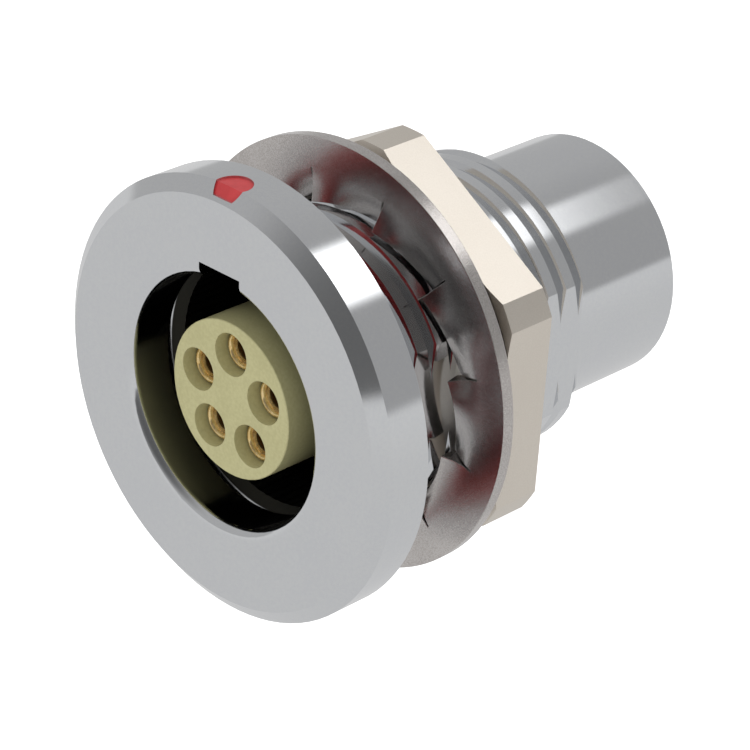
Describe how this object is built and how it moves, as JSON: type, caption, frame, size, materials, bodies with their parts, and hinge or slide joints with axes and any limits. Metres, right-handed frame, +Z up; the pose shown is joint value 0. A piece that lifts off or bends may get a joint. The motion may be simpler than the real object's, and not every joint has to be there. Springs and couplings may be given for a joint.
{
  "type": "circular push-pull connector, panel socket",
  "caption": "Round panel socket for a push-pull plug: keyed flange with a red dot, threaded barrel, seal, toothed washer, hexagon nut and smooth rear sleeve.",
  "frame": {"origin": "on the connector's axis, in the plane of the flange's rear face, which seats on the panel", "axes": "+Y along the axis to the rear, through the panel; +Z up, through the key and the red dot; +X to the right for someone who looks into the socket"},
  "size_m": [0.0174, 0.0212, 0.0174],
  "materials": {
    "shell_chrome": "satin chrome over brass",
    "red_enamel": "fired enamel, slightly glossy",
    "red_rubber": "smooth silicone rubber",
    "washer_nickel": "rough nickel plate",
    "nut_nickel": "satin nickel plate",
    "insert_beige": "moulded high-temperature plastic, smooth",
    "dark_rubber": "smooth rubber",
    "crown_nickel": "nickel plate",
    "dark_resin": "cast epoxy resin",
    "contact_gold": "gold plate",
    "clip_gold": "gold plate"
  },
  "bodies": {
    "socket": {"shell": "shell_chrome", "alignment_dot": "red_enamel", "panel_seal": "red_rubber", "insert_front": "insert_beige", "insert_rear": "insert_beige", "insert_seal": "dark_rubber", "earthing_crown": "crown_nickel", "retaining_ring": "crown_nickel", "rear_resin": "dark_resin", "contact_1": "contact_gold", "contact_2": "contact_gold", "contact_3": "contact_gold", "contact_4": "contact_gold", "contact_5": "contact_gold", "contact_clip_1": "clip_gold", "contact_clip_2": "clip_gold", "contact_clip_3": "clip_gold", "contact_clip_4": "clip_gold", "contact_clip_5": "clip_gold"},
    "washer": {"lock_washer": "washer_nickel"},
    "nut": {"hex_nut": "nut_nickel"}
  },
  "joints": [
    {"name": "washer_travel", "type": "slide", "parent": "socket", "child": "washer", "axis": [0, 1, 0], "range_m": [-0.0028, 0.0042]},
    {"name": "nut_turn", "type": "hinge", "parent": "washer", "child": "nut", "pos_m": [0, 0, 0], "axis": [0, 1, 0], "range_deg": [-1006, 1510]}
  ],
  "couplings": [
    {"joint": "nut_turn", "follows": "washer_travel", "rad_per_m": 6283.2}
  ]
}
